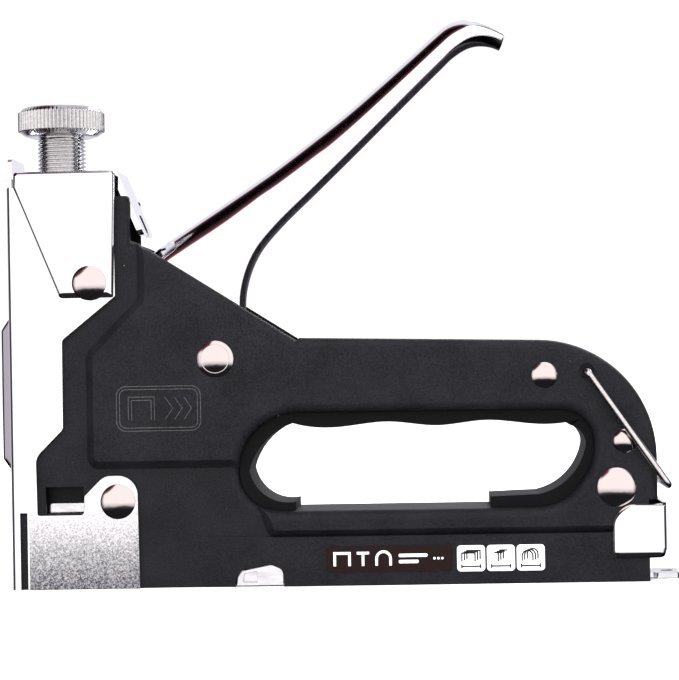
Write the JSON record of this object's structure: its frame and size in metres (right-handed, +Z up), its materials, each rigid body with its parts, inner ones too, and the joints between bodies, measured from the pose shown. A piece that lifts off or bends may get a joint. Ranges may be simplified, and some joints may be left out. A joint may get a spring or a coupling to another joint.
{
  "type": "hand staple gun",
  "caption": "Spring-driven hand tacker: black pressed body, chromed nose, head cap and lever, knurled power knob, finger hole and rear-loading magazine.",
  "frame": {"origin": "centre of the outer box at the base, where the staples leave and the tool stands", "axes": "+X from the nose to the tail, +Z up through the head, Y across the two shells"},
  "size_m": [0.1674, 0.031, 0.1389],
  "materials": {
    "black_coat": "matte powder coat with a fine grain",
    "grip_plastic": "moulded black plastic",
    "chromed_sheet": "bright chrome on pressed sheet",
    "rivet_chrome": "polished domes",
    "knob_steel": "nickelled turned steel",
    "plain_steel": "oiled machined steel",
    "hard_steel": "hardened ground steel",
    "dark_steel": "blackened steel",
    "spring_steel": "drawn spring wire",
    "zinc_plate": "zinc-plated sheet",
    "bumper_rubber": "black rubber",
    "label_film": "dark brown printed film",
    "white_film": "white printed film"
  },
  "bodies": {
    "frame": {"left_body_shell": "black_coat", "right_body_shell": "black_coat", "grip_liner": "grip_plastic", "nose_cover": "chromed_sheet", "head_cap": "chromed_sheet", "cap_nut": "plain_steel", "main_spring": "spring_steel", "front_guide_plate": "hard_steel", "rail_keeper": "dark_steel", "plunger_bumper": "bumper_rubber", "head_rivet": "rivet_chrome", "nose_rivet": "rivet_chrome", "lever_pivot_pin": "rivet_chrome", "rear_top_rivet": "rivet_chrome", "rear_mid_rivet": "rivet_chrome", "rear_low_rivet": "rivet_chrome", "spacer_tubes": "plain_steel", "magazine_channel": "zinc_plate", "staple_rail": "zinc_plate", "name_label": "label_film", "size_labels": "white_film"},
    "lever": {"lever": "chromed_sheet", "lifter": "plain_steel", "lifter_rivets": "plain_steel", "lifter_pin": "plain_steel"},
    "roller": {"lifter_roller": "plain_steel"},
    "striker": {"plunger": "plain_steel", "striker_blade": "hard_steel"},
    "seat": {"spring_seat": "plain_steel"},
    "knob": {"adjuster_screw": "knob_steel"},
    "rod": {"pusher_rod": "plain_steel", "rod_nut": "plain_steel", "rear_plug": "grip_plastic", "rear_latch": "chromed_sheet", "feed_spring": "spring_steel"},
    "pusher": {"pusher": "plain_steel"},
    "bail": {"locking_bail": "spring_steel"}
  },
  "joints": [
    {"name": "lever_squeeze", "type": "hinge", "parent": "frame", "child": "lever", "pos_m": [-0.0296, 0, 0.0558], "axis": [0, 1, 0], "range_deg": [0, 38], "stiffness_Nm_per_rad": 4, "springref_deg": -20.05},
    {"name": "roller_spin", "type": "hinge", "parent": "lever", "child": "roller", "pos_m": [-0.05574, 0, 0.0468], "axis": [0, 1, 0], "continuous": true},
    {"name": "striker_lift", "type": "slide", "parent": "frame", "child": "striker", "axis": [0, 0, 1], "range_m": [0, 0.0185], "deforming": ["main_spring"]},
    {"name": "seat_travel", "type": "slide", "parent": "frame", "child": "seat", "axis": [0, 0, 1], "range_m": [-0.005, 0.001], "deforming": ["main_spring"]},
    {"name": "adjuster_turn", "type": "hinge", "parent": "seat", "child": "knob", "pos_m": [-0.06855, 0, 0.1119], "axis": [0, 0, 1], "range_deg": [-1805, 365]},
    {"name": "magazine_pull", "type": "slide", "parent": "frame", "child": "rod", "axis": [1, 0, 0], "range_m": [0, 0.1]},
    {"name": "pusher_feed", "type": "slide", "parent": "rod", "child": "pusher", "axis": [1, 0, 0], "range_m": [0, 0.085], "stiffness_N_per_m": 60, "springref_m": -0.03, "deforming": ["feed_spring"]},
    {"name": "bail_swing", "type": "hinge", "parent": "frame", "child": "bail", "pos_m": [0.06085, 0, 0.0513], "axis": [0, -1, 0], "range_deg": [0, 125]}
  ],
  "couplings": [
    {"joint": "striker_lift", "follows": "lever_squeeze", "m_per_rad": 0.02714},
    {"joint": "adjuster_turn", "follows": "seat_travel", "rad_per_m": 6283.2}
  ]
}
